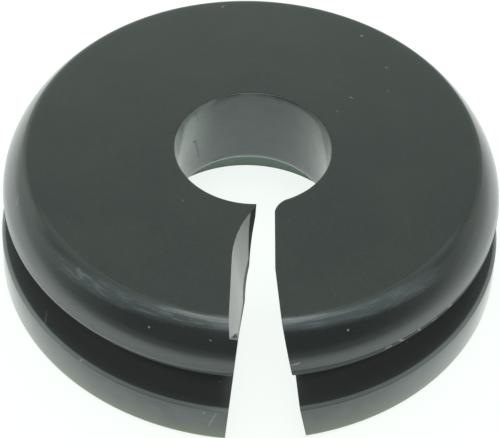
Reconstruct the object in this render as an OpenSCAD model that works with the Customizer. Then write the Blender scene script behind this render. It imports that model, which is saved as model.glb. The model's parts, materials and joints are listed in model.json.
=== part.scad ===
// Split rubber grommet, one moulding: a thick upper flange with a rounded shoulder,
// a panel groove, a lower flange with a bevelled rim, a round bore that opens out
// towards the base, and one hand-cut slit from the bore to the rim.
// Millimetres, +Z up. The part rests on Z = 0, the bore runs along Z through X = Y = 0,
// and the slit opens towards -Y.

/* [Flanges] */
// Outside diameter of the upper flange
flange_d = 25; // [24:0.5:28]
// Height of the whole grommet
height = 7.1; // [6.8:0.1:8]
// Outside diameter of the lower flange, under its bevel
lower_d = 25.5; // [25:0.1:26]
// Thickness of the lower flange
lower_t = 2.25; // [2:0.05:2.5]
// Bevel round the top of the lower flange's rim
rim_bevel = 0.15; // [0.05:0.05:0.25]
// How much wider the lower flange is at its base, in diameter
base_flare = 0.2; // [0.1:0.05:0.5]
// Radius of the rounded shoulder of the upper flange
shoulder_r = 3.6; // [3.2:0.1:3.6]
// How far the centre of the shoulder's arc lies below the groove's top edge
shoulder_drop = 0.2; // [0:0.1:0.3]
// Radius of the worn edge between the flat top and the shoulder
edge_r = 0.7; // [0.4:0.1:0.9]
// Radius of the edge round the base
base_r = 0.3; // [0.2:0.1:0.4]

/* [Panel groove] */
// Width of the groove, which takes the panel
groove_w = 2.35; // [2.2:0.05:2.5]
// Diameter of the groove's floor, the panel hole that it fits
groove_d = 19; // [17:0.5:20]
// Radius in the groove's two inner corners
groove_r = 0.4; // [0.2:0.1:0.6]

/* [Bore] */
// Diameter of the straight part of the bore
bore_d = 7.8; // [7:0.2:9]
// Height of the lead-in under the straight part
lead_h = 2.6; // [2:0.1:3]
// Diameter of the lead-in where it meets the base
lead_d = 11.6; // [10:0.2:12]

/* [Slit] */
// Place across the part of the left cut, at the bore's edge on the top face
left_x = 0.28; // [0.1:0.02:0.4]
// How far the left cut opens outwards, in degrees
left_open = 4; // [2:0.5:6]
// Lean of the left cut, in degrees from upright, open at the base
left_lean = 3.4; // [2:0.2:5]
// How far the heel of the left cut, low down by the bore, opens outwards, in degrees
heel_open = 10.7; // [8:0.1:12]
// Lean of the heel, in degrees from upright
heel_lean = 1.5; // [0.5:0.1:2]
// Place across the part of the right cut, at the bore's edge on the top face
right_x = 1.16; // [1:0.02:1.4]
// How far the right cut opens outwards near the bore, in degrees
right_open = 1.5; // [0:0.5:3]
// How far the right cut opens outwards near the rim, in degrees
right_flare = 6.3; // [4:0.1:9]
// Distance from the bore's axis to the bend in the right cut
flare_y = 8; // [7:0.5:9]
// Lean of the right cut, in degrees from upright, open at the base
right_lean = 11; // [6:0.2:12]
// Radius of the torn corner between the right cut and the bore
corner_r = 1.2; // [0.8:0.1:1.4]

/* [Scoop in the left cut] */
// Place across the part of the hollow's flat, on the top face
scoop_x = -0.77; // [-0.8:0.01:-0.7]
// Distance from the bore's axis to where the flat begins to curve towards the bore
scoop_y = 7.5; // [7.2:0.1:7.8]
// Radius of that curve
scoop_r = 5.6; // [5.2:0.1:6]
// Lean of the hollow, in degrees from upright, closed at the base
scoop_lean = 6.5; // [5:0.5:8]
// How far the hollow runs towards the bore on its way down, in degrees
scoop_skew = 20; // [0:5:25]
// Distance from the bore's axis, at the level of the top, to where the hollow stops
scoop_end = 12.43; // [12.2:0.01:12.5]
// Lean of the hollow's end towards the bore on its way down, in degrees from upright
scoop_end_lean = 42; // [30:1:45]

/* [Hidden] */
$fn = 96;
flange_r = flange_d / 2;
bore_r = bore_d / 2;
groove_floor = groove_d / 2;
lead_r = lead_d / 2;
lower_r = lower_d / 2;
base_rim = lower_r + base_flare / 2;
groove_top = lower_t + groove_w;
draft = atan((base_flare / 2) / (lower_t - rim_bevel));
// Centre of the shoulder's arc
shoulder_x = flange_r - shoulder_r;
shoulder_z = groove_top - shoulder_drop;
// Where the shoulder's arc meets the flat top, and the worn edge that softens it
crease_x = shoulder_x + sqrt(pow(shoulder_r, 2) - pow(height - shoulder_z, 2));
edge_z = height - edge_r;
edge_x = shoulder_x + sqrt(pow(shoulder_r - edge_r, 2) - pow(edge_z - shoulder_z, 2));
edge_dir = atan2(edge_z - shoulder_z, edge_x - shoulder_x);
// Centre of the base's rounded edge, inside the drafted rim
base_x = base_rim - base_r * (1 + sin(draft)) / cos(draft);
// Centre of the torn corner, which touches both the right cut and the bore
corner_x = right_x + corner_r;
corner_y = sqrt(pow(bore_r + corner_r, 2) - pow(corner_x, 2));
touch_y = corner_y * bore_r / (bore_r + corner_r);
// Where the right cut bends, on the top face
bend_x = right_x + (flare_y - bore_r) * tan(right_open);
// A line inside the slit, on the top face
meet_x = (left_x + right_x) / 2;
// How far the cutting tools stand out of the part, and how long they are
past = 2;
reach = flange_d;

// Half section of the lower flange: drafted rim, bevel and rounded base edge
module lower_flange_section() {
    difference() {
        polygon([
            [0, 0], [base_rim, 0],
            [lower_r, lower_t - rim_bevel], [lower_r - rim_bevel, lower_t],
            [0, lower_t],
        ]);
        difference() {
            polygon([
                [base_x, -past], [base_rim + past, -past],
                [base_rim + past, base_r], [base_x + base_r * cos(draft), base_r + base_r * sin(draft)],
                [base_x, base_r],
            ]);
            translate([base_x, base_r]) circle(r = base_r);
        }
    }
}

// Half section of the upper flange: flat top, worn edge and round shoulder
module upper_flange_section() {
    difference() {
        intersection() {
            translate([0, groove_top]) square([flange_r, height - groove_top]);
            union() {
                translate([shoulder_x, shoulder_z]) circle(r = shoulder_r);
                translate([0, groove_top]) square([shoulder_x, height]);
            }
        }
        difference() {
            polygon([
                [edge_x, edge_z], [edge_x, height + past], [crease_x + edge_r, height + past],
                [
                    edge_x + 2 * edge_r * cos(edge_dir),
                    edge_z + 2 * edge_r * sin(edge_dir),
                ],
            ]);
            translate([edge_x, edge_z]) circle(r = edge_r);
        }
    }
}

// Half section of the core, with its inner groove corners rounded
module core_section() {
    difference() {
        square([groove_floor + groove_r, (groove_top + height) / 2]);
        translate([groove_floor + groove_r, lower_t + groove_r])
            circle(r = groove_r);
        translate([groove_floor + groove_r, groove_top - groove_r])
            circle(r = groove_r);
        translate([groove_floor, lower_t + groove_r])
            square([2 * groove_r, groove_w - 2 * groove_r]);
    }
}

// Half section of the hole: straight bore above, lead-in cone below
module hole_section() {
    polygon([
        [-past, -past], [lead_r, -past], [lead_r, 0],
        [bore_r, lead_h], [bore_r, height + past], [-past, height + past],
    ]);
}

// The whole ring, before it is slit
module ring() {
    rotate_extrude()
        difference() {
            union() {
                lower_flange_section();
                core_section();
                upper_flange_section();
            }
            hole_section();
        }
}

// Everything to the right of a plane of the left cut, which leans and opens outwards
module right_of_cut(open, lean) {
    translate([left_x, -bore_r, height])
        rotate([0, lean, 0])
            rotate([0, 0, -open])
                translate([0, -reach, -reach])
                    cube([reach, reach + bore_r, reach + past]);
}

// Everything to the left of one flank of the right cut, given where it starts
// and how far it opens outwards
module left_of_flank(from_x, from_y, open) {
    translate([from_x, -from_y, height])
        rotate([0, -right_lean, 0])
            rotate([0, 0, open])
                translate([-reach, -reach, -reach])
                    cube([reach, reach + bore_r, reach + past]);
}

// The slit itself: what lies between the two cuts
module slit() {
    intersection() {
        right_of_cut(left_open, left_lean);
        right_of_cut(heel_open, heel_lean);
        union() {
            left_of_flank(right_x, bore_r, right_open);
            left_of_flank(bend_x, flare_y, right_flare);
        }
    }
}

// The torn corner between the right cut and the bore, as the region to take away
module torn_corner() {
    translate([0, 0, -past])
        linear_extrude(height + 2 * past)
            difference() {
                polygon([
                    [meet_x, -corner_y], [corner_x, -corner_y],
                    [corner_x * bore_r / (bore_r + corner_r), -touch_y], [meet_x, -touch_y],
                ]);
                translate([corner_x, -corner_y]) circle(r = corner_r);
            }
}

// The hollow that the blade left in the left cut: a leaning flat that curves out to the
// bore, and stops short of the rim
module scoop() {
    intersection() {
        translate([scoop_x, -scoop_y, height])
            rotate([scoop_skew, -scoop_lean, 0]) {
                translate([scoop_r, 0, 0])
                    cylinder(r = scoop_r, h = 2 * reach, center = true);
                translate([0, -reach, -reach])
                    cube([scoop_r, reach, 2 * reach]);
            }
        translate([meet_x, -scoop_end, height])
            rotate([scoop_end_lean, 0, 0])
                translate([-reach, 0, -reach])
                    cube([reach, 2 * reach, 2 * reach]);
    }
}

// The finished grommet
module grommet() {
    color([0.27, 0.29, 0.28])
        difference() {
            ring();
            slit();
            torn_corner();
            scoop();
        }
}

grommet();
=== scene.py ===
import json
import math

import bpy
from mathutils import Matrix, Vector
from mathutils.geometry import delaunay_2d_cdt


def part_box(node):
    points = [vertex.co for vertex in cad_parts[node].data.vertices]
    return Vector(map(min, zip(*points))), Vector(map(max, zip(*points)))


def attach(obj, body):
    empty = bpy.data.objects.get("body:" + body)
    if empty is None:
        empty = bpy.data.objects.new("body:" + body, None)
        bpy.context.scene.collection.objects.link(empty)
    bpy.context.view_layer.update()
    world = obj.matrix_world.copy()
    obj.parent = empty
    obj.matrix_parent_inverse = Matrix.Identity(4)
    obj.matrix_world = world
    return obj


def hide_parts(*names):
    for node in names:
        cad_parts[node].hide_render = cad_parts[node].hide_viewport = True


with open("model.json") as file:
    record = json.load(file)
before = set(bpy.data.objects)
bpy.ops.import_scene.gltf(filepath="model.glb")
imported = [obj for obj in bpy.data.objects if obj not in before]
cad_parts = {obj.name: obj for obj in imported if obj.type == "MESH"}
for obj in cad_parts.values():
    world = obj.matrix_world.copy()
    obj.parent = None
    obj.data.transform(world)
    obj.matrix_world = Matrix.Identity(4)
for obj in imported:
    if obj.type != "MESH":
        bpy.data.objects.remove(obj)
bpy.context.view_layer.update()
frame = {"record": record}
mm = 0.001


# Camera
# A long lens on a small stand looks down at the grommet from in front of its slit. It
# hangs a touch out of level, as a stand set by hand does.

camera_distance = 89.9 * mm
camera_elevation = math.radians(47.6)
camera_roll = math.radians(2.42)

camera_data = bpy.data.cameras.new("camera")
camera_data.sensor_width = 36
camera_data.lens = 122.8
camera_data.shift_x = 0.0021
camera_data.shift_y = 0.0484
camera_data.clip_start = 1 * mm
camera = bpy.data.objects.new("camera", camera_data)
bpy.context.scene.collection.objects.link(camera)
camera.matrix_world = (
    Matrix.Rotation(math.pi / 2 - camera_elevation, 4, "X")
    @ Matrix.Rotation(camera_roll, 4, "Z")
)
camera.location = (
    0,
    -camera_distance * math.cos(camera_elevation),
    camera_distance * math.sin(camera_elevation),
)
bpy.context.scene.camera = camera
bpy.context.scene.view_settings.view_transform = "Standard"


# Floor and light
# White card lies under the grommet and runs on past every edge of the view. One long soft
# box hangs over it, and in gloss the card glows with a painted pool of light round the
# grommet. The room is dim in front, where the camera stands, and paler overhead and behind.

floor_half = 1.2
card_white = (0.86, 0.9, 0.875, 1)
card_shade = (0.24, 0.24, 0.24, 1)
card_glow = (0.95, 1, 0.97, 1)
card_seen = 0.88
card_in_gloss = 0.84
pool_middle = (-6 * mm, 6 * mm)
pool_bright = 24 * mm
pool_end = 62 * mm
lamp_size = (0.3, 0.91)
lamp_place = (0, -0.21, 0.45)
lamp_power = 1.6
room_front_hue = (0.88, 0.97, 1)
room_back_hue = (0.94, 1, 0.93)

# Steps of a value: from, to, what it gives before and what it gives after.
card_beyond_pool = (-60 * mm, 30 * mm, 0.1, 0.5)
room_walls = (0.6, 0.76, 0.55, 0.2)
room_overhead = (0.82, 0.96, 0, 0.35)
room_left_to_right = (-0.6, 0.6, 1.2, 0.8)
room_front_to_back = (-0.8, 0.35, 0.15, 1)
room_hue_turn = (-0.6, 0.3, 0, 1)


def calc(tree, operation, *values, clamp=False):
    """One Math node; values are numbers or sockets. Gives its output socket."""
    node = tree.nodes.new("ShaderNodeMath")
    node.operation = operation
    node.use_clamp = clamp
    for socket, value in zip(node.inputs, values):
        if isinstance(value, bpy.types.NodeSocket):
            tree.links.new(value, socket)
        else:
            socket.default_value = value
    return node.outputs[0]


def product(tree, total, *factors):
    """All the values multiplied together."""
    for factor in factors:
        total = calc(tree, "MULTIPLY", total, factor)
    return total


def most(tree, total, *values):
    """The greatest of the values."""
    for value in values:
        total = calc(tree, "MAXIMUM", total, value)
    return total


def span(tree, value, low, high, at_low, at_high):
    """A smooth step of a value: at_low up to low, at_high from high on."""
    node = tree.nodes.new("ShaderNodeMapRange")
    node.interpolation_type = "SMOOTHSTEP"
    for socket, number in zip(node.inputs, (value, low, high, at_low, at_high)):
        if isinstance(number, bpy.types.NodeSocket):
            tree.links.new(number, socket)
        else:
            socket.default_value = number
    return node.outputs["Result"]


def mixed(tree, factor, first, second):
    """Two colours mixed by a mask; each is a tuple or a socket. Sockets 6 and 7 of the node
    take the colours, and its output 2 gives their mix."""
    node = tree.nodes.new("ShaderNodeMix")
    node.data_type = "RGBA"
    tree.links.new(factor, node.inputs[0])
    for socket, value in ((node.inputs[6], first), (node.inputs[7], second)):
        if isinstance(value, bpy.types.NodeSocket):
            tree.links.new(value, socket)
        else:
            socket.default_value = (*value, 1)
    return node.outputs[2]


def card_material():
    """White card. Seen straight on or through glass it is studio white, and it still
    darkens where the grommet stands in its light. In gloss it glows white too, in a painted
    pool of light round the grommet, and dimmer beyond it."""
    material = bpy.data.materials.new("white_card")
    material.use_nodes = True
    tree = material.node_tree
    tree.nodes.clear()
    out = tree.nodes.new("ShaderNodeOutputMaterial")
    path = tree.nodes.new("ShaderNodeLightPath")
    card = tree.nodes.new("ShaderNodeBsdfDiffuse")
    card.inputs["Color"].default_value = card_white
    shade = tree.nodes.new("ShaderNodeBsdfDiffuse")
    shade.inputs["Color"].default_value = card_shade
    place = tree.nodes.new("ShaderNodeSeparateXYZ")
    coords = tree.nodes.new("ShaderNodeTexCoord")
    tree.links.new(coords.outputs["Object"], place.inputs[0])
    far_x = calc(tree, "SUBTRACT", place.outputs["X"], pool_middle[0])
    far_y = calc(tree, "SUBTRACT", place.outputs["Y"], pool_middle[1])
    far = calc(tree, "MULTIPLY_ADD", far_y, far_y, product(tree, far_x, far_x))
    far = calc(tree, "SQRT", far)
    beyond = span(tree, place.outputs["Y"], *card_beyond_pool)
    # The painted pool of light: the card's glow in gloss, full near the grommet, fading out.
    pool = span(tree, far, pool_bright, pool_end, 1, 0)
    pool = calc(tree, "MULTIPLY_ADD", calc(tree, "SUBTRACT", 1, beyond), pool, beyond)
    direct = most(tree, path.outputs["Is Camera Ray"], path.outputs["Is Transmission Ray"])
    strength = most(tree, product(tree, pool, card_in_gloss), product(tree, direct, card_seen))
    glow = tree.nodes.new("ShaderNodeEmission")
    glow.inputs["Color"].default_value = card_glow
    tree.links.new(strength, glow.inputs["Strength"])
    seen_white = tree.nodes.new("ShaderNodeAddShader")
    tree.links.new(shade.outputs[0], seen_white.inputs[0])
    tree.links.new(glow.outputs[0], seen_white.inputs[1])
    mix = tree.nodes.new("ShaderNodeMixShader")
    tree.links.new(most(tree, direct, path.outputs["Is Glossy Ray"]), mix.inputs["Fac"])
    tree.links.new(card.outputs[0], mix.inputs[1])
    tree.links.new(seen_white.outputs[0], mix.inputs[2])
    tree.links.new(mix.outputs[0], out.inputs["Surface"])
    return material


floor_mesh = bpy.data.meshes.new("floor")
floor_mesh.from_pydata(
    [(-floor_half, -floor_half, 0), (floor_half, -floor_half, 0),
     (floor_half, floor_half, 0), (-floor_half, floor_half, 0)],
    [], [(0, 1, 2, 3)],
)
floor = bpy.data.objects.new("floor", floor_mesh)
floor.data.materials.append(card_material())
bpy.context.scene.collection.objects.link(floor)


overhead = bpy.data.lights.new("overhead_lamp", "AREA")
overhead.shape = "RECTANGLE"
overhead.size, overhead.size_y = lamp_size
overhead.energy = lamp_power
overhead_lamp = bpy.data.objects.new("overhead_lamp", overhead)
overhead_lamp.location = lamp_place
bpy.context.scene.collection.objects.link(overhead_lamp)


def room_light():
    """The room round the card: dim in front, where the camera stands, and paler low down at
    the sides and behind, and overhead."""
    world = bpy.data.worlds.new("room")
    world.use_nodes = True
    tree = world.node_tree
    background = tree.nodes["Background"].inputs
    way = tree.nodes.new("ShaderNodeTexCoord")
    parts = tree.nodes.new("ShaderNodeSeparateXYZ")
    tree.links.new(way.outputs["Generated"], parts.inputs[0])
    across, back, up = parts.outputs
    bright = calc(tree, "ADD", span(tree, up, *room_walls), span(tree, up, *room_overhead))
    bright = product(
        tree, bright, span(tree, across, *room_left_to_right),
        span(tree, back, *room_front_to_back),
    )
    tree.links.new(bright, background["Strength"])
    hue = mixed(tree, span(tree, back, *room_hue_turn), room_front_hue, room_back_hue)
    tree.links.new(hue, background["Color"])
    return world


bpy.context.scene.world = room_light()


# Grommet, its moulded shape
# One ring of black rubber, moulded round a core pin: a thick flange with a round shoulder,
# a groove for the panel's edge and a thick lower flange. The mould leaves every edge a
# little soft, and the bore opens into a lead-in cone at the base.

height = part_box("grommet")[1].z
bore_mount = next(m for m in frame["record"]["mounts"] if m["name"] == "bore")
bore_r = bore_mount["dims"]["r_mm"] * mm
bore_edge = 0.03 * mm
lead_h = height - bore_mount["dims"]["length_mm"] * mm
lead_r = 5.8 * mm
lead_top_edge = 0.2 * mm
lead_base_edge = 0.1 * mm

flange_r = 12.5 * mm
shoulder_low_r = 2.3 * mm
shoulder_low_turn = math.radians(23.8)
shoulder_high_r = 4.3 * mm
edge_r = 0.4 * mm
lip_top = 4.75 * mm
lip_low = 4.2 * mm
lip_in = 0.3 * mm
lip_edge = 0.05 * mm
lip_root_in = 0.9 * mm
lip_root_edge = 0.3 * mm

groove_floor = 9.5 * mm
groove_top = 4.6 * mm
groove_sag = 0.32 * mm
groove_ceiling = groove_top - groove_sag
groove_ceiling_corner = 0.8 * mm
groove_corner = 0.4 * mm

lower_t = 2.25 * mm
lower_r = 12.75 * mm
rim_bevel = 0.15 * mm
bevel_edge = 0.04 * mm
base_rim = 12.85 * mm
base_edge = 0.3 * mm

# Where the blade's hollow stops: its distance from the axis at the level of the top, its
# lean, and the two sides of the thin wall that ends it.
hollow_end = 12.43 * mm
hollow_end_lean = math.radians(42)
hollow_wall = (-0.015 * mm, 0.015 * mm)

# How fine the mesh is.
columns = 480
outline_step = 0.45 * mm
corner_step = 0.15 * mm
corner_steps = 8
shoulder_steps = 8
arc_step = 14
cut_grid = 0.15 * mm
sharp_from = math.radians(50)
same_place = 1e-9
triangles_inside = 1
merge_within = 1e-6

# The finish number of each zone of the outline that isn't plain skin, which is 0.
zone_finish = {"bore": 1, "cut": 2}


def rounded_outline(corners):
    """A closed outline from (x, z, rounding, zone) corners. Each corner becomes an arc of
    its rounding, and straight runs are cut into short steps. Gives (x, z, zone) points,
    the zone being the name of the run that starts there."""
    points = []

    def cut_run(end, zone):
        start = Vector(points[-1][:2])
        run = end - start
        cuts = max(1, math.ceil(run.length / outline_step - 0.01))
        points.extend((*(start + run * k / cuts), zone) for k in range(1, cuts))

    for i, (x, z, rounding, zone) in enumerate(corners):
        here = Vector((x, z))
        before = Vector(corners[i - 1][:2]) - here
        after = Vector(corners[(i + 1) % len(corners)][:2]) - here
        last_zone = corners[i - 1][3]
        arc = [here]
        if rounding:
            half = before.angle(after) / 2
            back = rounding / math.tan(half)
            first = here + before.normalized() * back
            last = here + after.normalized() * back
            middle = here + (before.normalized() + after.normalized()).normalized() * (
                rounding / math.sin(half)
            )
            steps = max(3, round(math.degrees(math.pi - 2 * half) / arc_step))
            from_angle = math.atan2(first.y - middle.y, first.x - middle.x)
            swing = math.atan2(last.y - middle.y, last.x - middle.x) - from_angle
            swing = (swing + math.pi) % (2 * math.pi) - math.pi
            arc = []
            for k in range(steps + 1):
                a = from_angle + swing * k / steps
                arc.append(middle + rounding * Vector((math.cos(a), math.sin(a))))
        if points:
            cut_run(arc[0], last_zone)
        for k, p in enumerate(arc):
            points.append((p.x, p.y, zone if 2 * k >= len(arc) - 1 else last_zone))
    cut_run(Vector(points[0][:2]), corners[-1][3])
    return points


def shoulder_corners():
    """The flat top's worn edge and the shoulder, which bends more and more on its way down
    to the lip, as corners. Each arc is given by its radius and the slope that it ends at."""
    here = Vector((flange_r, lip_top))
    corners = [(here.x, here.y, 0, "skin")]
    slope = 0
    arcs = (
        (shoulder_low_r, shoulder_low_turn), (shoulder_high_r, None), (edge_r, math.pi / 2),
    )
    for radius, end in arcs:
        middle = here - radius * Vector((math.cos(slope), math.sin(slope)))
        if end is None:
            end = math.asin((height - edge_r - middle.y) / (radius - edge_r))
        for k in range(1, shoulder_steps + 1):
            a = slope + (end - slope) * k / shoulder_steps
            here = middle + radius * Vector((math.cos(a), math.sin(a)))
            corners.append((here.x, here.y, 0, "skin"))
        slope = end
    return corners[::-1]


def past_hollow_end(x, z):
    """How far a place of the section lies past the line where the blade's hollow stops."""
    return x + (height - z) * math.tan(hollow_end_lean) - hollow_end


def with_hollow_end(points):
    """The outline with a close pair of points where the hollow's end crosses its skin."""
    for i in range(1, len(points)):
        a, b = Vector(points[i - 1][:2]), Vector(points[i][:2])
        before, after = past_hollow_end(*a), past_hollow_end(*b)
        if before < 0 <= after and points[i - 1][2] == "skin":
            pair = [a + (b - a) * (level - before) / (after - before) for level in hollow_wall]
            return points[:i] + [(*p, "skin") for p in pair] + points[i:]


outline = with_hollow_end(rounded_outline([
    (lead_r, 0, lead_base_edge, "bore"),
    (bore_r, lead_h, lead_top_edge, "bore"),
    (bore_r, height, bore_edge, "skin"),
    *[(bore_r + k * corner_step, height, 0, "skin") for k in range(1, corner_steps + 1)],
    *shoulder_corners(),
    (flange_r - lip_in, lip_low, lip_edge, "groove"),
    (flange_r - lip_root_in, groove_ceiling, lip_root_edge, "groove"),
    (groove_floor, groove_ceiling, groove_ceiling_corner, "groove"),
    (groove_floor, lower_t, groove_corner, "groove"),
    (lower_r - rim_bevel, lower_t, bevel_edge, "rim"),
    (lower_r, lower_t - rim_bevel, bevel_edge, "rim"),
    (base_rim, 0, base_edge, "base"),
]))


def section_fill(points, spacing):
    """Fills the section with small triangles: gives the points inside it and the faces,
    where a number below len(points) is a point of the outline. A close pair of lines runs
    through it where the hollow stops, so that its end is a clean step."""
    xs = [p[0] for p in points]
    zs = [p[1] for p in points]
    inner = []
    rows = round((max(zs) - min(zs)) / spacing)
    cols = round((max(xs) - min(xs)) / spacing)
    for j in range(1, rows):
        for i in range(1, cols):
            x = min(xs) + (max(xs) - min(xs)) * (i + 0.5 * (j % 2)) / cols
            z = min(zs) + (max(zs) - min(zs)) * j / rows
            clear = abs(past_hollow_end(x, z)) > spacing / 3
            if clear and inside(points, x, z, spacing / 2):
                inner.append((x, z))
    loop = [(i, (i + 1) % len(points)) for i in range(len(points))]
    for level in hollow_wall:
        last = next(
            i for i, p in enumerate(points) if abs(past_hollow_end(*p[:2]) - level) < same_place
        )
        x, z = points[last][:2]
        while z > groove_top + spacing:
            x, z = x - spacing * math.tan(hollow_end_lean), z - spacing
            inner.append((x, z))
            loop.append((last, len(points) + len(inner) - 1))
            last = len(points) + len(inner) - 1
    flat = [Vector((p[0], p[1])) / mm for p in points] + [Vector(p) / mm for p in inner]
    _, _, faces, origin, _, _ = delaunay_2d_cdt(flat, loop, [], triangles_inside, merge_within)
    first = [o[0] for o in origin]
    return inner, [[first[v] for v in f] for f in faces]


def inside(points, x, z, margin):
    """Whether (x, z) is inside the outline, and at least margin from it."""
    odd = False
    for i, (bx, bz, _) in enumerate(points):
        ax, az, _ = points[i - 1]
        if math.hypot(bx - x, bz - z) < margin:
            return False
        if (az > z) != (bz > z) and x < ax + (z - az) / (bz - az) * (bx - ax):
            odd = not odd
    return odd


def strip_mesh(name):
    """The ring unrolled: X is the way round, from 0 at the right cut to 1 at the left cut,
    Y the distance from the bore's axis and Z the height. Both ends are closed."""
    count = len(outline)
    verts = []
    for c in range(columns + 1):
        verts += [(c / columns, x, z) for x, z, _ in outline]
    faces = []
    zones = []
    uvs = []
    along = [0]
    for i in range(count):
        x0, z0, _ = outline[i]
        x1, z1, _ = outline[(i + 1) % count]
        along.append(along[-1] + math.hypot(x1 - x0, z1 - z0))
    turn = 2 * math.pi * flange_r / columns
    for c in range(columns):
        for i in range(count):
            j = (i + 1) % count
            a, b = c * count, (c + 1) * count
            faces.append((a + i, a + j, b + j, b + i))
            zones.append(outline[i][2])
            uvs += [
                (c * turn, along[i]), (c * turn, along[i + 1]),
                ((c + 1) * turn, along[i + 1]), ((c + 1) * turn, along[i]),
            ]
    inner, fill = section_fill(outline, cut_grid)
    for end in (0, 1):
        offset = len(verts)
        verts += [(end, x, z) for x, z in inner]
        rim = end * columns * count
        for tri in fill:
            ids = [rim + v if v < count else offset + v - count for v in tri]
            faces.append(ids if end == 0 else ids[::-1])
            zones.append("cut")
            uvs += [(verts[v][1], verts[v][2]) for v in faces[-1]]
    mesh = bpy.data.meshes.new(name)
    mesh.from_pydata(verts, [], faces)
    layer = mesh.uv_layers.new(name="round_and_along")
    for i, uv in enumerate(uvs):
        layer.data[i].uv = uv
    finish = mesh.attributes.new("finish", "INT", "FACE")
    finish.data.foreach_set("value", [zone_finish.get(zone, 0) for zone in zones])
    mesh.update()
    return mesh


# Grommet, its slit
# The ring is slit once with a knife, from the bore to the rim. The two cuts lean and open
# outwards, the right one bends and tore a round corner at the bore, and the blade's swing
# left a long hollow in the left one.

slit = {
    "Height": height,
    "Bore radius": bore_r,
    "Left place": 0.28 * mm,
    "Left opening": math.radians(-4),
    "Left lean": math.radians(3.4),
    "Heel opening": math.radians(-10.7),
    "Heel lean": math.radians(1.5),
    "Right place": 1.16 * mm,
    "Right opening": math.radians(1.5),
    "Right flare": math.radians(6.3),
    "Flare start": 8 * mm,
    "Right lean": math.radians(-11),
    "Torn corner": 1.2 * mm,
    "Hollow place": -0.77 * mm,
    "Hollow bend": 7.5 * mm,
    "Hollow radius": 5.6 * mm,
    "Hollow lean": math.radians(6.5),
    "Hollow skew": math.radians(20),
    "Hollow end": hollow_end,
    "Hollow end lean": hollow_end_lean,
}

# The tree's materials, in the order of the finish numbers.
finishes = ("Skin material", "Bore material", "Cut material")


def cut_angle_group():
    """Node group: how far round from the slit's middle a leaning, opening cut passes, at a
    given distance from the bore's axis and a given depth below the top."""
    tree = bpy.data.node_groups.new("cut_angle", "GeometryNodeTree")
    for name in ("Distance", "Depth", "Place", "Start", "Opening", "Lean"):
        tree.interface.new_socket(name, in_out="INPUT", socket_type="NodeSocketFloat")
    tree.interface.new_socket("Angle", in_out="OUTPUT", socket_type="NodeSocketFloat")
    given = tree.nodes.new("NodeGroupInput").outputs
    out = tree.nodes.new("NodeGroupOutput")
    slope = calc(
        tree, "DIVIDE", calc(tree, "TANGENT", given["Opening"]),
        calc(tree, "COSINE", given["Lean"]),
    )
    lean = product(tree, calc(tree, "TANGENT", given["Lean"]), given["Depth"])
    place = calc(
        tree, "SUBTRACT", calc(tree, "SUBTRACT", given["Place"], lean),
        product(tree, slope, given["Start"]),
    )
    stretch = calc(tree, "SQRT", calc(tree, "MULTIPLY_ADD", slope, slope, 1.0))
    turn = calc(
        tree, "ARCSINE",
        calc(tree, "DIVIDE", place, product(tree, given["Distance"], stretch)),
    )
    angle = calc(tree, "ADD", calc(tree, "ARCTANGENT", slope), turn)
    tree.links.new(angle, out.inputs["Angle"])
    return tree


def place_cut(tree, group, **values):
    """One use of the cut_angle group. Gives its angle socket."""
    node = tree.nodes.new("GeometryNodeGroup")
    node.node_tree = group
    for name, value in values.items():
        socket = node.inputs[name]
        if isinstance(value, bpy.types.NodeSocket):
            tree.links.new(value, socket)
        else:
            socket.default_value = value
    return node.outputs["Angle"]


def hollow_angle(tree, given, distance, depth, angle):
    """How far round the blade's hollow lies at a point of the left cut: a leaning flat that
    curves out to the bore. Past its end it lies out of the way."""
    sine = calc(tree, "SINE", given["Hollow lean"])
    cosine = calc(tree, "COSINE", given["Hollow lean"])
    out_y = product(tree, distance, calc(tree, "COSINE", angle))
    inwards = calc(tree, "SUBTRACT", given["Hollow bend"], out_y)
    inwards = product(tree, inwards, calc(tree, "COSINE", given["Hollow skew"]))
    drop = product(tree, depth, cosine, calc(tree, "SINE", given["Hollow skew"]))
    along = most(tree, calc(tree, "SUBTRACT", inwards, drop), 0.0)
    radius = given["Hollow radius"]
    square = calc(tree, "SUBTRACT", product(tree, radius, radius), product(tree, along, along))
    curve = calc(tree, "SUBTRACT", radius, calc(tree, "SQRT", square))
    across = calc(tree, "DIVIDE", calc(tree, "MULTIPLY_ADD", sine, depth, curve), cosine)
    across = calc(tree, "ADD", across, given["Hollow place"])
    turn = calc(tree, "ARCSINE", calc(tree, "DIVIDE", across, distance))
    end = product(tree, depth, calc(tree, "TANGENT", given["Hollow end lean"]))
    end = calc(tree, "SUBTRACT", given["Hollow end"], end)
    return calc(tree, "ADD", turn, calc(tree, "GREATER_THAN", out_y, end))


def torn_corner_angle(tree, given, distance):
    """How far round the torn corner reaches at a distance from the bore's axis: the near
    side of a circle that touches both the right cut and the bore."""
    far = calc(tree, "ADD", given["Bore radius"], given["Torn corner"])
    across = calc(tree, "ADD", given["Right place"], given["Torn corner"])
    towards = calc(tree, "ARCSINE", calc(tree, "DIVIDE", across, far))
    top = calc(tree, "MULTIPLY_ADD", distance, distance, product(tree, far, far))
    top = calc(tree, "SUBTRACT", top, product(tree, given["Torn corner"], given["Torn corner"]))
    ratio = calc(tree, "DIVIDE", top, product(tree, distance, far, 2.0))
    width = calc(tree, "ARCCOSINE", calc(tree, "MINIMUM", ratio, 1.0))
    angle = calc(tree, "SUBTRACT", towards, width)
    reach = product(tree, far, calc(tree, "COSINE", towards))
    near_bore = calc(tree, "LESS_THAN", distance, reach)
    return product(tree, angle, near_bore)


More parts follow.
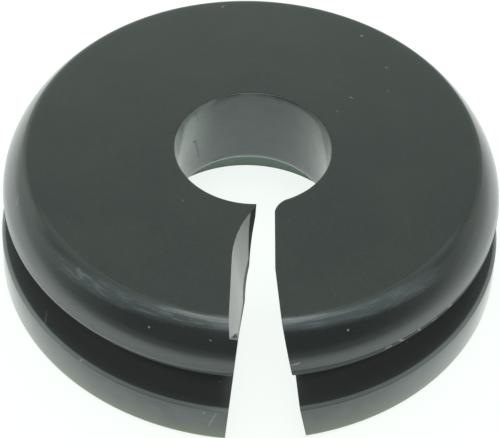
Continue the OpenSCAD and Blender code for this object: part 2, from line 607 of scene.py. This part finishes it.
def bend_and_slit_tree():
    """Bends the unrolled ring round the bore so that its two ends lie on the two cuts."""
    tree = bpy.data.node_groups.new("bend_and_slit", "GeometryNodeTree")
    tree.interface.new_socket("Geometry", in_out="INPUT", socket_type="NodeSocketGeometry")
    for name in slit:
        tree.interface.new_socket(name, in_out="INPUT", socket_type="NodeSocketFloat")
    for name in finishes:
        tree.interface.new_socket(name, in_out="INPUT", socket_type="NodeSocketMaterial")
    tree.interface.new_socket("Geometry", in_out="OUTPUT", socket_type="NodeSocketGeometry")
    given = tree.nodes.new("NodeGroupInput").outputs
    out = tree.nodes.new("NodeGroupOutput")
    parts = tree.nodes.new("ShaderNodeSeparateXYZ")
    tree.links.new(tree.nodes.new("GeometryNodeInputPosition").outputs[0], parts.inputs[0])
    way, distance, up = parts.outputs
    depth = calc(tree, "SUBTRACT", given["Height"], up)
    group = cut_angle_group()
    shared = {"Distance": distance, "Depth": depth}
    left = place_cut(
        tree, group, **shared, Place=given["Left place"], Start=given["Bore radius"],
        Opening=given["Left opening"], Lean=given["Left lean"],
    )
    heel = place_cut(
        tree, group, **shared, Place=given["Left place"], Start=given["Bore radius"],
        Opening=given["Heel opening"], Lean=given["Heel lean"],
    )
    hollow = hollow_angle(tree, given, distance, depth, left)
    left = calc(tree, "MINIMUM", most(tree, left, heel), hollow)
    near = place_cut(
        tree, group, **shared, Place=given["Right place"], Start=given["Bore radius"],
        Opening=given["Right opening"], Lean=given["Right lean"],
    )
    run = calc(tree, "SUBTRACT", given["Flare start"], given["Bore radius"])
    bend = calc(
        tree, "MULTIPLY_ADD", run, calc(tree, "TANGENT", given["Right opening"]),
        given["Right place"],
    )
    flare = place_cut(
        tree, group, **shared, Place=bend, Start=given["Flare start"],
        Opening=given["Right flare"], Lean=given["Right lean"],
    )
    right = most(tree, near, flare, torn_corner_angle(tree, given, distance))
    whole = calc(tree, "ADD", calc(tree, "SUBTRACT", left, right), 2 * math.pi)
    angle = calc(tree, "MULTIPLY_ADD", whole, way, right)
    join = tree.nodes.new("ShaderNodeCombineXYZ")
    tree.links.new(product(tree, distance, calc(tree, "SINE", angle)), join.inputs[0])
    out_y = product(tree, distance, calc(tree, "COSINE", angle))
    tree.links.new(product(tree, out_y, -1.0), join.inputs[1])
    tree.links.new(up, join.inputs[2])
    move = tree.nodes.new("GeometryNodeSetPosition")
    tree.links.new(given["Geometry"], move.inputs["Geometry"])
    tree.links.new(join.outputs[0], move.inputs["Position"])
    real = tree.nodes.new("GeometryNodeRealizeInstances")
    tree.links.new(move.outputs[0], real.inputs[0])
    finish = tree.nodes.new("GeometryNodeInputNamedAttribute")
    finish.data_type = "INT"
    finish.inputs["Name"].default_value = "finish"
    made = real.outputs[0]
    for number, name in enumerate(finishes):
        dress = tree.nodes.new("GeometryNodeSetMaterial")
        tree.links.new(made, dress.inputs["Geometry"])
        wears = calc(tree, "COMPARE", finish.outputs["Attribute"], number, 0.5)
        tree.links.new(wears, dress.inputs["Selection"])
        tree.links.new(given[name], dress.inputs["Material"])
        made = dress.outputs[0]
    tree.links.new(made, out.inputs["Geometry"])
    return tree


def bend_and_slit(strip, materials):
    """Runs the tree on the unrolled ring and gives the finished plain mesh."""
    modifier = strip.modifiers.new("bend_and_slit", "NODES")
    modifier.node_group = bend_and_slit_tree()
    values = {**slit, **dict(zip(finishes, materials))}
    for item in modifier.node_group.interface.items_tree:
        if item.in_out == "INPUT" and item.name in values:
            modifier[item.identifier] = values[item.name]
    bpy.context.view_layer.update()
    done = strip.evaluated_get(bpy.context.evaluated_depsgraph_get())
    mesh = bpy.data.meshes.new_from_object(done)
    strip.modifiers.remove(modifier)
    return mesh


# Grommet, its moulded skin
# Black rubber as it left the mould: satin gloss on the shoulder and the rim, a faint bloom
# on the flat top, and a dull lip that rolls into the groove, tinted with painted shade.
# The bevel is pale with a painted highlight, and so is the front of the ridge, with streaks
# rubbed pale where the grommet was handled. The foot has the card's painted reflection.

rubber_black = (0.029, 0.0335, 0.0315)
rubber_in_groove = (0.125, 0.122, 0.12)
rubber_bloom = (0.036, 0.045, 0.04)
pale_marks_and_highlights = (0.17, 0.205, 0.215)
pale_specks_and_glints = (0.38, 0.41, 0.39)
# On the lip, lip_blue is painted shade: the dark teal of the shaded groove below it.
lip_blue = (0.03, 0.042, 0.05)
bevel_painted_highlight = (0.25, 0.285, 0.275)
foot_painted_reflection = (0.12, 0.16, 0.04)
gloss_tint = (0.84, 1, 0.95, 1)

# Of a streak's noise: the level that it starts from at no share, how far a full share
# lowers that, and how soft its edge is. Of a speck and a mark: how much of its width is
# solid. Of a mark: how often its sides waver in a millimetre.
streak_level = 0.72
streak_by_share = 0.4
streak_edge = 0.1
speck_core = 0.3
mark_core = 0.2
mark_waver = 9


def effect_group(name, inputs, outputs):
    """An empty shader group with named sockets. Gives the group, what it is given and what
    it puts out."""
    tree = bpy.data.node_groups.new(name, "ShaderNodeTree")
    for label, kind in inputs.items():
        tree.interface.new_socket(label, in_out="INPUT", socket_type="NodeSocket" + kind)
    for label, kind in outputs.items():
        tree.interface.new_socket(label, in_out="OUTPUT", socket_type="NodeSocket" + kind)
    given = tree.nodes.new("NodeGroupInput").outputs
    return tree, given, tree.nodes.new("NodeGroupOutput").inputs


def place_effect(tree, group, values):
    """One use of a shader group with its own values. Gives its outputs."""
    node = tree.nodes.new("ShaderNodeGroup")
    node.node_tree = group
    for label, value in values.items():
        if isinstance(value, bpy.types.NodeSocket):
            tree.links.new(value, node.inputs[label])
        else:
            node.inputs[label].default_value = value
    return node.outputs


def vector_calc(tree, operation, *values):
    """One Vector Math node; values are tuples or sockets. Gives the node."""
    node = tree.nodes.new("ShaderNodeVectorMath")
    node.operation = operation
    for socket, value in zip(node.inputs, values):
        if isinstance(value, bpy.types.NodeSocket):
            tree.links.new(value, socket)
        else:
            socket.default_value = value
    return node


def scaled(tree, vector, factor):
    """A vector times a number."""
    node = vector_calc(tree, "SCALE", vector)
    if isinstance(factor, bpy.types.NodeSocket):
        tree.links.new(factor, node.inputs["Scale"])
    else:
        node.inputs["Scale"].default_value = factor
    return node.outputs[0]


def noise(tree, vector, detail, roughness=0.5):
    """Plain noise of size 1. Gives its value socket."""
    node = tree.nodes.new("ShaderNodeTexNoise")
    node.inputs["Scale"].default_value = 1
    node.inputs["Detail"].default_value = detail
    node.inputs["Roughness"].default_value = roughness
    tree.links.new(vector, node.inputs["Vector"])
    return node.outputs[0]


def grain_group():
    """Fine grain, a slow ripple as of a moulded face, and broad cloudy bloom, by size."""
    tree, given, out = effect_group(
        "rubber_grain",
        {"Place": "Vector", "Grain size": "Float", "Ripple size": "Float",
         "Bloom size": "Float"},
        {"Grain": "Float", "Ripple": "Float", "Bloom": "Float"},
    )
    for label, detail in (("Grain", 2), ("Ripple", 1), ("Bloom", 4)):
        size = calc(tree, "DIVIDE", 1.0, given[label + " size"])
        tree.links.new(noise(tree, scaled(tree, given["Place"], size), detail), out[label])
    return tree


def streak_group():
    """Thin streaks that run round the part: Round is the way along them and Across the way
    over them. Share is how much of the face they take."""
    tree, given, out = effect_group(
        "streaks",
        {"Round": "Float", "Across": "Float", "Length": "Float", "Width": "Float",
         "Share": "Float", "Seed": "Float"},
        {"Mask": "Float", "Tone": "Float"},
    )
    join = tree.nodes.new("ShaderNodeCombineXYZ")
    tree.links.new(calc(tree, "DIVIDE", given["Round"], given["Length"]), join.inputs[0])
    tree.links.new(calc(tree, "DIVIDE", given["Across"], given["Width"]), join.inputs[1])
    tree.links.new(given["Seed"], join.inputs[2])
    tone = noise(tree, join.outputs[0], 2, 0.6)
    level = product(tree, given["Share"], streak_by_share)
    level = calc(tree, "SUBTRACT", streak_level, level)
    edge = calc(tree, "ADD", level, streak_edge)
    tree.links.new(span(tree, tone, level, edge, 0, 1), out["Mask"])
    tree.links.new(tone, out["Tone"])
    return tree


def speck_group():
    """Scattered specks of dust: Spacing is the size of the cell that may hold one, Size the
    size of a speck and Share how many of the cells hold one."""
    tree, given, out = effect_group(
        "specks",
        {"Place": "Vector", "Spacing": "Float", "Size": "Float", "Share": "Float"},
        {"Mask": "Float"},
    )
    cells = tree.nodes.new("ShaderNodeTexVoronoi")
    cells.inputs["Scale"].default_value = 1
    size_one = scaled(tree, given["Place"], calc(tree, "DIVIDE", 1.0, given["Spacing"]))
    tree.links.new(size_one, cells.inputs["Vector"])
    chance = tree.nodes.new("ShaderNodeSeparateXYZ")
    tree.links.new(cells.outputs["Color"], chance.inputs[0])
    far = product(tree, cells.outputs["Distance"], given["Spacing"])
    size = product(tree, given["Size"], calc(tree, "ADD", chance.outputs[1], 0.5))
    dot = span(tree, far, product(tree, size, speck_core), size, 1, 0)
    held = calc(tree, "LESS_THAN", chance.outputs[0], given["Share"])
    tree.links.new(product(tree, dot, held), out["Mask"])
    return tree


def mark_group():
    """One nick, scratch or speck between two places: a soft-edged line of a given width,
    a little uneven along its sides."""
    tree, given, out = effect_group(
        "mark",
        {"Place": "Vector", "Start": "Vector", "End": "Vector", "Width": "Float",
         "Uneven": "Float"},
        {"Mask": "Float"},
    )
    run = vector_calc(tree, "SUBTRACT", given["End"], given["Start"]).outputs[0]
    off = vector_calc(tree, "SUBTRACT", given["Place"], given["Start"]).outputs[0]
    part = calc(
        tree, "DIVIDE", vector_calc(tree, "DOT_PRODUCT", off, run).outputs["Value"],
        vector_calc(tree, "DOT_PRODUCT", run, run).outputs["Value"], clamp=True,
    )
    side = vector_calc(tree, "SUBTRACT", off, scaled(tree, run, part)).outputs[0]
    far = vector_calc(tree, "LENGTH", side).outputs["Value"]
    half = product(tree, calc(tree, "ADD", given["Uneven"], 0.5), given["Width"], 0.5)
    tree.links.new(span(tree, far, product(tree, half, mark_core), half, 1, 0), out["Mask"])
    return tree


rubber_grain = grain_group()
streaks = streak_group()
specks = speck_group()
mark = mark_group()


def on_surface(turn, distance, up):
    """The place, in millimetres, on the moulded outline nearest to a distance from the axis
    and a height, turned by degrees from the slit's middle."""
    aim = Vector((distance, up)) * mm
    best = None
    for i in range(len(outline)):
        a, b = Vector(outline[i - 1][:2]), Vector(outline[i][:2])
        part = max(0, min(1, (aim - a).dot(b - a) / max((b - a).length_squared, 1e-12)))
        near = a + (b - a) * part
        if best is None or (near - aim).length < (best - aim).length:
            best = near
    angle = math.radians(turn)
    return Vector((best.x * math.sin(angle), -best.x * math.cos(angle), best.y)) / mm


def marks_mask(tree, place, marks):
    """All the placed marks of a face in one mask. A mark is (turn, distance, height) of its
    start and of its end, its width and its strength."""
    total = 0.0
    uneven = noise(tree, scaled(tree, place, mark_waver), 1)
    for start, end, width, strength in marks:
        found = place_effect(tree, mark, {
            "Place": place, "Start": on_surface(*start), "End": on_surface(*end),
            "Width": width, "Uneven": uneven,
        })["Mask"]
        total = most(tree, product(tree, found, strength), total)
    return total


def painted(tree, colour, *coats):
    """A colour with (mask, colour) coats laid over it in turn."""
    for mask, coat in coats:
        colour = mixed(tree, mask, colour, coat)
    return colour


def heaped(tree, total, *layers):
    """A value with (mask, amount) layers added to it in turn."""
    for mask, amount in layers:
        total = calc(tree, "MULTIPLY_ADD", mask, amount, total)
    return total


def surface_places(tree):
    """Where a point of the part lies, in millimetres: its place, its distance from the
    axis, its height, and its way round and along the moulded outline."""
    coords = tree.nodes.new("ShaderNodeTexCoord")
    place = scaled(tree, coords.outputs["Object"], 1 / mm)
    parts = tree.nodes.new("ShaderNodeSeparateXYZ")
    tree.links.new(place, parts.inputs[0])
    x, y, up = parts.outputs
    distance = calc(tree, "SQRT", calc(tree, "MULTIPLY_ADD", x, x, product(tree, y, y)))
    unrolled = tree.nodes.new("ShaderNodeUVMap")
    unrolled.uv_map = "round_and_along"
    flat = tree.nodes.new("ShaderNodeSeparateXYZ")
    tree.links.new(scaled(tree, unrolled.outputs[0], 1 / mm), flat.inputs[0])
    return {
        "place": place, "x": x, "y": y, "up": up, "distance": distance,
        "round": flat.outputs[0], "along": flat.outputs[1],
    }


def rubber_material(name):
    """A material with a glossy rubber shader whose fixed numbers are set here. Gives the
    material, its tree and its shader's inputs."""
    material = bpy.data.materials.new(name)
    material.use_nodes = True
    bsdf = material.node_tree.nodes["Principled BSDF"].inputs
    bsdf["IOR"].default_value = 1.6
    bsdf["Specular IOR Level"].default_value = 0.7
    bsdf["Specular Tint"].default_value = gloss_tint
    bsdf["Coat Roughness"].default_value = 0.13
    return material, material.node_tree, bsdf


def raise_surface(tree, bsdf, *layers):
    """Gives the shader a bump from (mask, millimetres) layers."""
    bump = tree.nodes.new("ShaderNodeBump")
    bump.inputs["Strength"].default_value = 1
    bump.inputs["Distance"].default_value = 1 * mm
    tree.links.new(heaped(tree, 0.0, *layers), bump.inputs["Height"])
    tree.links.new(bump.outputs[0], bsdf["Normal"])


# Marks: (turn in degrees, distance, height) of the start and of the end, width, strength.
skin_marks = [
    ((-21.5, 11.98, 6.26), (-21.5, 11.98, 6.26), 0.14, 1),
    ((23.2, 11.9, 6.39), (23.2, 11.9, 6.39), 0.14, 1),
    ((-24.4, 12.4, 5.1), (-24.4, 12.4, 5.1), 0.12, 0.8),
    ((-7.5, 11.9, 6.3), (-7.5, 11.9, 6.3), 0.13, 0.6),
    # This broad, faint mark is partly a rub and partly a painted highlight.
    ((-41.5, 11.6, 6.75), (-43, 11.5, 6.85), 0.36, 0.22),
    ((10.2, 12.4, 5.3), (11.8, 12.4, 5.35), 0.13, 1),
    ((-169.4, 10.8, 7.1), (-170, 10.9, 7.1), 0.12, 0.5),
    ((129.1, 6.25, 7.1), (127.5, 6.3, 7.1), 0.08, 0.5),
    ((123.5, 8.17, 7.1), (123.5, 8.17, 7.1), 0.1, 0.5),
    ((123.6, 5.02, 7.1), (124.5, 5.1, 7.1), 0.07, 0.4),
    ((-71, 11.96, 6.3), (-72.5, 11.8, 6.5), 0.14, 0.5),
    ((31.7, 12.5, 4.82), (33, 12.5, 4.84), 0.16, 1),
    ((35.2, 12.5, 4.94), (36.2, 12.5, 4.78), 0.17, 1),
    ((40.3, 12.5, 4.95), (41.0, 12.5, 4.78), 0.16, 1),
    ((44.6, 12.5, 4.84), (46, 12.5, 4.83), 0.12, 1),
    ((50.0, 12.5, 4.92), (51.2, 12.5, 4.84), 0.18, 1),
    ((-37.7, 12.64, 2.2), (-37.9, 12.7, 2.15), 0.16, 0.9),
    ((-53.9, 12.05, 2.25), (-50.6, 12.6, 2.25), 0.07, 0.4),
    ((-49.4, 12.8, 1.1), (-50, 12.83, 0.3), 0.09, 0.6),
    ((-7, 12.8, 1.0), (-5.4, 12.76, 2.0), 0.09, 0.8),
    ((-8, 12.75, 2.0), (-8, 12.75, 1.9), 0.12, 0.8),
]

# The rubbed streaks and the painted highlight follow a line round the ridge: its distance
# from the axis in front of the slit, and how that changes with each radian to the right and
# with each radian to either side.
ridge_r = 11.28
ridge_to_right = -0.05
ridge_to_side = 0.4
lip_soft = 0.1

# Steps: from, to, what it gives before and what it gives after. Heights, distances from
# the axis and from the ridge are in millimetres, and turns from the slit in radians.
groove_up = (2.12, 2.22, 0, 1)
groove_to_lip_up = (4.1, 4.25, 1, 0)
groove_open_distance = (11, 12.5, 1, 0.15)
lip_up = (4.15, 4.25, 0, 1)
lip_end_turn = (-0.4, 0.3, 4.68, 4.92)
ridge_off = (0.1, 0.36, 1, 0)
ridge_up = (6.3, 6.5, 0, 1)
ridge_side = (0.68, 0.95, 1, 0)
ridge_pale_turn = (-0.2, 0.4, 0.34, 0.5)
worn_off = (-0.2, -0.02, 1, 0)
worn_distance = (11.0, 11.1, 0, 1)
worn_from_side = (0.2, 0.4, 0, 1)
worn_to_side = (0.85, 1.2, 1, 0)
bevel_distance = (12.52, 12.6, 0, 1)
bevel_side = (0.2, 1.0, 0.5, 0.9)
bevel_from_up = (2.04, 2.1, 0, 1)
bevel_to_up = (3, 3.1, 1, 0)
mottle_tone = (0.35, 0.65, 0, 0.5)
mottle_up = (1.9, 2.1, 1, 0)
foot_up = (0, 1.3, 1, 0)
foot_distance = (12.4, 12.7, 0, 1)
bloom_tone = (0.35, 0.7, 0, 1)
bloom_up = (7.0, 7.09, 0.4, 1)
bloom_grain = (0.35, 0.75, -0.25, 0.45)
dull_to_lip_up = (4.9, 5.3, 0.7, 0.15)
dull_from_rim_up = (3, 4, 0.6, 1)
gloss_at_foot_up = (0.7, 1.9, 0.45, 0)


def skin_material():
    """Moulded rubber, with its lip, ridge, bevel and foot found by their places."""
    material, tree, bsdf = rubber_material("moulded_rubber")
    at = surface_places(tree)
    up, distance = at["up"], at["distance"]
    turn = calc(tree, "ARCTAN2", at["x"], product(tree, at["y"], -1))
    side = calc(tree, "ABSOLUTE", turn)
    grain = place_effect(tree, rubber_grain, {
        "Place": at["place"], "Grain size": 0.13, "Ripple size": 1.5, "Bloom size": 4,
    })
    dust = place_effect(tree, specks, {
        "Place": at["place"], "Spacing": 1.1, "Size": 0.07, "Share": 0.17,
    })["Mask"]
    lines = place_effect(tree, streaks, {
        "Round": at["round"], "Across": at["along"], "Length": 9, "Width": 0.16,
        "Share": 0.3, "Seed": 8.0,
    })["Tone"]
    rub_streaks_and_highlight = place_effect(tree, streaks, {
        "Round": at["round"], "Across": at["along"], "Length": 1.2, "Width": 0.11,
        "Share": 0.5, "Seed": 3.0,
    })["Mask"]
    nicks = marks_mask(tree, at["place"], skin_marks)
    marked = most(tree, nicks, dust)

    groove = product(tree, span(tree, up, *groove_up), span(tree, up, *groove_to_lip_up))
    lip_end = span(tree, turn, *lip_end_turn)
    over_lip = span(tree, up, lip_end, calc(tree, "ADD", lip_end, lip_soft), 1, 0)
    lip = product(tree, span(tree, up, *lip_up), over_lip)
    ridge_at = heaped(tree, ridge_r, (turn, ridge_to_right), (side, ridge_to_side))
    off_ridge = calc(tree, "SUBTRACT", distance, ridge_at)
    ridge = product(
        tree, span(tree, calc(tree, "ABSOLUTE", off_ridge), *ridge_off),
        span(tree, up, *ridge_up), span(tree, side, *ridge_side),
    )
    rub_streaks_and_highlight = product(tree, rub_streaks_and_highlight, ridge)
    worn = product(
        tree, span(tree, off_ridge, *worn_off), span(tree, distance, *worn_distance),
        span(tree, side, *worn_from_side), span(tree, side, *worn_to_side),
    )
    bevel = product(
        tree, span(tree, distance, *bevel_distance), span(tree, side, *bevel_side),
        span(tree, up, *bevel_from_up), span(tree, up, *bevel_to_up),
    )
    mottle = product(
        tree, span(tree, grain["Ripple"], *mottle_tone), span(tree, up, *mottle_up), lines,
    )
    foot = product(tree, span(tree, up, *foot_up), span(tree, distance, *foot_distance))
    bloom = product(tree, span(tree, grain["Bloom"], *bloom_tone), span(tree, up, *bloom_up))
    bloom = calc(tree, "ADD", bloom, span(tree, grain["Grain"], *bloom_grain), clamp=True)

    colour = painted(
        tree, rubber_black,
        (bloom, rubber_bloom),
        (product(tree, span(tree, distance, *groove_open_distance), groove), rubber_in_groove),
        # Painted shade: the lip is tinted the dark teal of the shaded groove that it faces.
        (lip, lip_blue),
        (mottle, pale_marks_and_highlights),
        # Painted reflection of the card, yellow-green, low on the lower flange's rim.
        (foot, foot_painted_reflection),
        # Painted highlight along the front of the ridge, paler to the right and gone at the
        # sides.
        (product(tree, ridge, span(tree, turn, *ridge_pale_turn)), pale_marks_and_highlights),
        # Streaks rubbed pale on the ridge, which also paint its highlight.
        (product(tree, rub_streaks_and_highlight, 0.6), pale_marks_and_highlights),
        # Painted highlight on the rim's bevel, brighter towards the sides.
        (bevel, bevel_painted_highlight),
        (most(tree, nicks, product(tree, dust, 0.5)), pale_specks_and_glints),
    )
    tree.links.new(colour, bsdf["Base Color"])

    rough = heaped(
        tree, 0.2, (grain["Grain"], 0.1), (ridge, 0.14), (groove, 0.3),
        (most(tree, worn, lip), 0.4),
    )
    tree.links.new(most(tree, rough, product(tree, marked, 0.7)), bsdf["Roughness"])
    by_lip = product(tree, span(tree, up, *dull_to_lip_up), span(tree, up, *dull_from_rim_up))
    dull = most(tree, product(tree, ridge, 0.6), nicks, groove, by_lip, lip, worn)
    dull = calc(tree, "SUBTRACT", dull, span(tree, up, *gloss_at_foot_up))
    tree.links.new(calc(tree, "SUBTRACT", 1.0, dull, clamp=True), bsdf["Coat Weight"])

    raise_surface(
        tree, bsdf, (grain["Ripple"], 0.012), (grain["Grain"], 0.0012), (lines, 0.004),
        (rub_streaks_and_highlight, 0.006), (lip, -0.012), (marked, 0.02),
    )
    return material


# Grommet, its bore
# The core pin's drag left fine rings round the bore's wall, with a few nicks under its
# rim. Its sides are painted paler with light, and a painted highlight runs round the
# lead-in's top edge. The lead-in below is smoother, with the card's light painted into it.

bore_grey = (0.042, 0.056, 0.051)
lead_in_painted_card_light = (0.38, 0.49, 0.41)
bore_pale_nicks_and_side_light = (0.44, 0.54, 0.48)
bore_nick_dark = (0.012, 0.015, 0.014)
bore_marks_dark = [
    ((-130.8, 3.9, 6.8), (-133, 3.9, 6.2), 0.16, 0.35),
    ((-128.5, 3.9, 4.95), (-131, 3.9, 4.8), 0.2, 0.7),
    ((-130.5, 3.9, 4.75), (-134.2, 3.9, 3.55), 0.17, 0.65),
]
bore_marks_pale = [
    # A painted highlight where the lead-in's top edge catches the light on the left.
    ((-147, 3.92, 2.7), (-157, 3.92, 2.7), 0.24, 1),
]
lead_in_line_up = 2.63

# Steps, as for the skin. Those across are along X.
straight_up = (2.4, 2.58, 0, 1)
side_light_off_middle = (1.9, 3.5, 0, 1)
side_light_up = (2.8, 5.5, 0.3, 1)
side_light_tone = (0.3, 0.6, 0.5, 1)
side_light_across = (-1, 1, 1, 0.6)
torn_up = (7.2, 7.5, 0, 0.8)
torn_across = (-2.4, -1.2, 1, 0)
bore_tone = (0.3, 0.7, 0, 1)
drawn_tone = (0.42, 0.62, 0, 0.22)
lead_in_line_off = (0.05, 0.14, 0.9, 0)
ring_tone = (0.35, 0.65, 0.15, 1)


def bore_material():
    """The bore's wall, with its rings, and the lead-in below it."""
    material, tree, bsdf = rubber_material("bore_wall")
    at = surface_places(tree)
    x, up = at["x"], at["up"]
    grain = place_effect(tree, rubber_grain, {
        "Place": at["place"], "Grain size": 0.12, "Ripple size": 1.1, "Bloom size": 2,
    })
    rings = place_effect(tree, streaks, {
        "Round": at["round"], "Across": at["along"], "Length": 14, "Width": 0.14,
        "Share": 0.35, "Seed": 5.0,
    })
    dust = place_effect(tree, specks, {
        "Place": at["place"], "Spacing": 1.2, "Size": 0.08, "Share": 0.12,
    })["Mask"]
    dark = marks_mask(tree, at["place"], bore_marks_dark)
    pale = most(tree, marks_mask(tree, at["place"], bore_marks_pale), dust)
    straight = span(tree, up, *straight_up)
    lead_in = calc(tree, "SUBTRACT", 1.0, straight)
    # Painted light on the bore's sides: paler away from the middle, higher up and on the left.
    side_light = product(
        tree, span(tree, calc(tree, "ABSOLUTE", x), *side_light_off_middle),
        span(tree, up, *side_light_up), span(tree, grain["Bloom"], *side_light_tone),
        span(tree, x, *side_light_across),
    )
    torn = span(tree, calc(tree, "ADD", up, grain["Ripple"]), *torn_up)
    torn = product(tree, torn, span(tree, x, *torn_across))
    drawn = product(tree, rings["Mask"], span(tree, grain["Bloom"], *drawn_tone))
    off_line = calc(tree, "ABSOLUTE", calc(tree, "SUBTRACT", up, lead_in_line_up))

    colour = painted(
        tree, bore_grey,
        (span(tree, grain["Bloom"], *bore_tone), rubber_black),
        (drawn, pale_marks_and_highlights),
        (most(tree, side_light, torn), bore_pale_nicks_and_side_light),
        # The card's light on the lead-in, painted into its pale green.
        (lead_in, lead_in_painted_card_light),
        # Painted highlight round the lead-in's top edge.
        (span(tree, off_line, *lead_in_line_off), pale_marks_and_highlights),
        (dark, bore_nick_dark),
        (pale, pale_specks_and_glints),
    )
    tree.links.new(colour, bsdf["Base Color"])

    rough = heaped(tree, 0.2, (rings["Tone"], 0.2))
    rough = most(
        tree, rough, product(tree, pale, 0.6), calc(tree, "SUBTRACT", 0.95, straight),
    )
    tree.links.new(rough, bsdf["Roughness"])
    bare = most(tree, dark, pale, lead_in)
    tree.links.new(calc(tree, "SUBTRACT", 1.0, bare, clamp=True), bsdf["Coat Weight"])

    ring = product(
        tree, rings["Tone"], straight, span(tree, grain["Bloom"], *ring_tone),
    )
    raise_surface(
        tree, bsdf, (ring, 0.009), (grain["Ripple"], 0.04), (grain["Grain"], 0.002),
        (dark, -0.015), (pale, 0.02),
    )
    return material


# Grommet, its cut faces
# Fresh rubber where the knife passed: the same black, drawn into faint lines along the
# blade's way and a little rougher than the moulded skin. A strip by the hole and one along
# the low edge are darker.

cut_black = (0.05, 0.062, 0.04)
cut_gloss = (0.84, 1, 0.72, 1)
cut_coat = 0.55

# The dark strips. By the hole: how wide it is by height, and its edge. Low down: the two
# lines that it lies under, each as height gained for each millimetre from the axis and
# height at the axis, and its edge.
heel_width_up = (lead_h / mm, height / mm, 0.16, 0.55)
heel_by_hole = (-0.04, 0.06, 1, 0)
heel_inner_line = (-0.9, 6.95)
heel_outer_line = (0.42, -0.52)
heel_under_lines = (-0.15, 0.1, 0, 0.85)


def cut_material():
    """Cut rubber, with the blade's lines and the dark strips."""
    material, tree, bsdf = rubber_material("cut_rubber")
    bsdf["Specular Tint"].default_value = cut_gloss
    at = surface_places(tree)
    up, distance = at["up"], at["distance"]
    grain = place_effect(tree, rubber_grain, {
        "Place": at["place"], "Grain size": 0.1, "Ripple size": 0.9, "Bloom size": 1.5,
    })
    blade = place_effect(tree, streaks, {
        "Round": up, "Across": distance, "Length": 3, "Width": 0.16,
        "Share": 0.3, "Seed": 1.0,
    })
    dust = place_effect(tree, specks, {
        "Place": at["place"], "Spacing": 1.0, "Size": 0.09, "Share": 0.15,
    })["Mask"]
    cone = calc(tree, "MULTIPLY_ADD", up, -(lead_r - bore_r) / lead_h, lead_r / mm)
    hole = most(tree, cone, bore_r / mm)
    by_hole = calc(tree, "SUBTRACT", calc(tree, "SUBTRACT", distance, hole),
                   span(tree, up, *heel_width_up))
    inner = calc(tree, "MULTIPLY_ADD", distance, *heel_inner_line)
    outer = calc(tree, "MULTIPLY_ADD", distance, *heel_outer_line)
    under = calc(tree, "SUBTRACT", most(tree, inner, outer), up)
    heel = most(tree, span(tree, by_hole, *heel_by_hole), span(tree, under, *heel_under_lines))
    # Dust, and the darker strips by the hole and low down.
    dust_and_dark_strips = most(tree, dust, heel)

    colour = painted(
        tree, cut_black, (product(tree, blade["Mask"], 0.3), pale_marks_and_highlights), (heel, lip_blue),
        (dust, pale_specks_and_glints),
    )
    tree.links.new(colour, bsdf["Base Color"])
    rough = heaped(tree, 0.27, (blade["Tone"], 0.25))
    tree.links.new(most(tree, rough, product(tree, dust_and_dark_strips, 0.7)), bsdf["Roughness"])
    tree.links.new(heaped(tree, cut_coat, (dust_and_dark_strips, -cut_coat)), bsdf["Coat Weight"])
    raise_surface(
        tree, bsdf, (blade["Tone"], 0.01), (grain["Grain"], 0.004), (grain["Ripple"], 0.02),
    )
    return material


# Grommet, made whole
# The ring is bent round, slit and given its three finishes in one step, as one moulding.

grommet = bpy.data.objects.new("grommet_body", strip_mesh("unrolled"))
bpy.context.scene.collection.objects.link(grommet)
grommet.data = bend_and_slit(grommet, (skin_material(), bore_material(), cut_material()))
grommet.data.name = "grommet_body"
grommet.data.polygons.foreach_set("use_smooth", [True] * len(grommet.data.polygons))
grommet.data.set_sharp_from_angle(angle=sharp_from)
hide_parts("grommet")
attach(grommet, "root")
